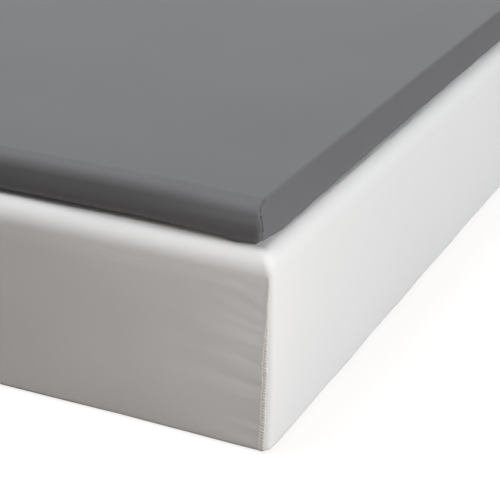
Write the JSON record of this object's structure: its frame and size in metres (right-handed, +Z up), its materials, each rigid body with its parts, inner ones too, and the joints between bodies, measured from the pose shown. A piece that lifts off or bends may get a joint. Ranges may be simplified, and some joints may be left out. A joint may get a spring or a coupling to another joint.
{
  "type": "pressure relief mattress",
  "caption": "Bed-size static foam mattress: thick covered foam base with rounded edges, and a thinner covered viscoelastic overlay lying loose on it.",
  "frame": {"origin": "middle of the underside of the base, where it rests on the bed's deck", "axes": "+Y towards the head end, +Z up, +X to the right as seen from the foot end; left and right in node names are as seen from the foot end"},
  "size_m": [0.9, 2.0056, 0.2803],
  "materials": {
    "white_cover": "matt woven polyester cotton",
    "seam_binding": "overlocked seam allowance",
    "grey_cover": "matt polyurethane coated stretch knit",
    "anti_slip_panel": "coated fabric with anti-slip dots",
    "firm_foam": "cut open-cell polyurethane foam",
    "support_foam": "cut open-cell polyurethane foam",
    "comfort_foam": "cut soft polyurethane foam",
    "visco_foam": "cut viscoelastic foam",
    "heel_foam": "cut soft viscoelastic foam",
    "fire_barrier": "knitted glass-fibre barrier cloth",
    "white_zip": "woven zip tape",
    "grey_zip": "woven zip tape",
    "zip_teeth": "moulded teeth",
    "zip_metal": "die-cast, nickel plated"
  },
  "bodies": {
    "base": {"base_cover_upper": "white_cover", "base_cover_lower": "anti_slip_panel", "base_seam_foot_left": "seam_binding", "base_seam_foot_right": "seam_binding", "base_seam_head_left": "seam_binding", "base_seam_head_right": "seam_binding", "side_bolster_left": "firm_foam", "side_bolster_right": "firm_foam", "end_bolster_foot": "firm_foam", "end_bolster_head": "firm_foam", "core_support_foam": "support_foam", "core_transition_foam": "firm_foam", "core_comfort_foam": "comfort_foam", "fire_barrier_sheet": "fire_barrier", "base_zip_tape_upper": "white_zip", "base_zip_tape_lower": "white_zip", "base_zip_teeth_upper": "zip_teeth", "base_zip_teeth_lower": "zip_teeth", "base_zip_top_stop": "zip_metal", "base_zip_bottom_stop": "zip_metal"},
    "base_slider": {"base_zip_slider": "zip_metal"},
    "base_pull": {"base_zip_pull": "zip_metal"},
    "overlay": {"overlay_cover_top": "grey_cover", "overlay_cover_base": "anti_slip_panel", "overlay_foam_head": "visco_foam", "overlay_foam_torso": "visco_foam", "overlay_foam_heel": "heel_foam", "overlay_zip_tape_upper": "grey_zip", "overlay_zip_tape_lower": "grey_zip", "overlay_zip_teeth_upper": "zip_teeth", "overlay_zip_teeth_lower": "zip_teeth", "overlay_zip_top_stop": "zip_metal", "overlay_zip_bottom_stop": "zip_metal"},
    "overlay_slider": {"overlay_zip_slider": "zip_metal"},
    "overlay_pull": {"overlay_zip_pull": "zip_metal"}
  },
  "joints": [
    {"name": "overlay_lift", "type": "slide", "parent": "base", "child": "overlay", "axis": [0, 0, 1], "range_m": [0, 0.3]},
    {"name": "base_zip_slide", "type": "slide", "parent": "base", "child": "base_slider", "axis": [1, 0, 0], "range_m": [-0.77, 0]},
    {"name": "base_zip_pull_swing", "type": "hinge", "parent": "base_slider", "child": "base_pull", "pos_m": [0.385, 1.0027, 0.045], "axis": [0, 0, -1], "range_deg": [0, 170]},
    {"name": "overlay_zip_slide", "type": "slide", "parent": "overlay", "child": "overlay_slider", "axis": [1, 0, 0], "range_m": [-0.77, 0]},
    {"name": "overlay_zip_pull_swing", "type": "hinge", "parent": "overlay_slider", "child": "overlay_pull", "pos_m": [0.385, 0.9807, 0.2468], "axis": [0, 0, -1], "range_deg": [0, 170]}
  ]
}
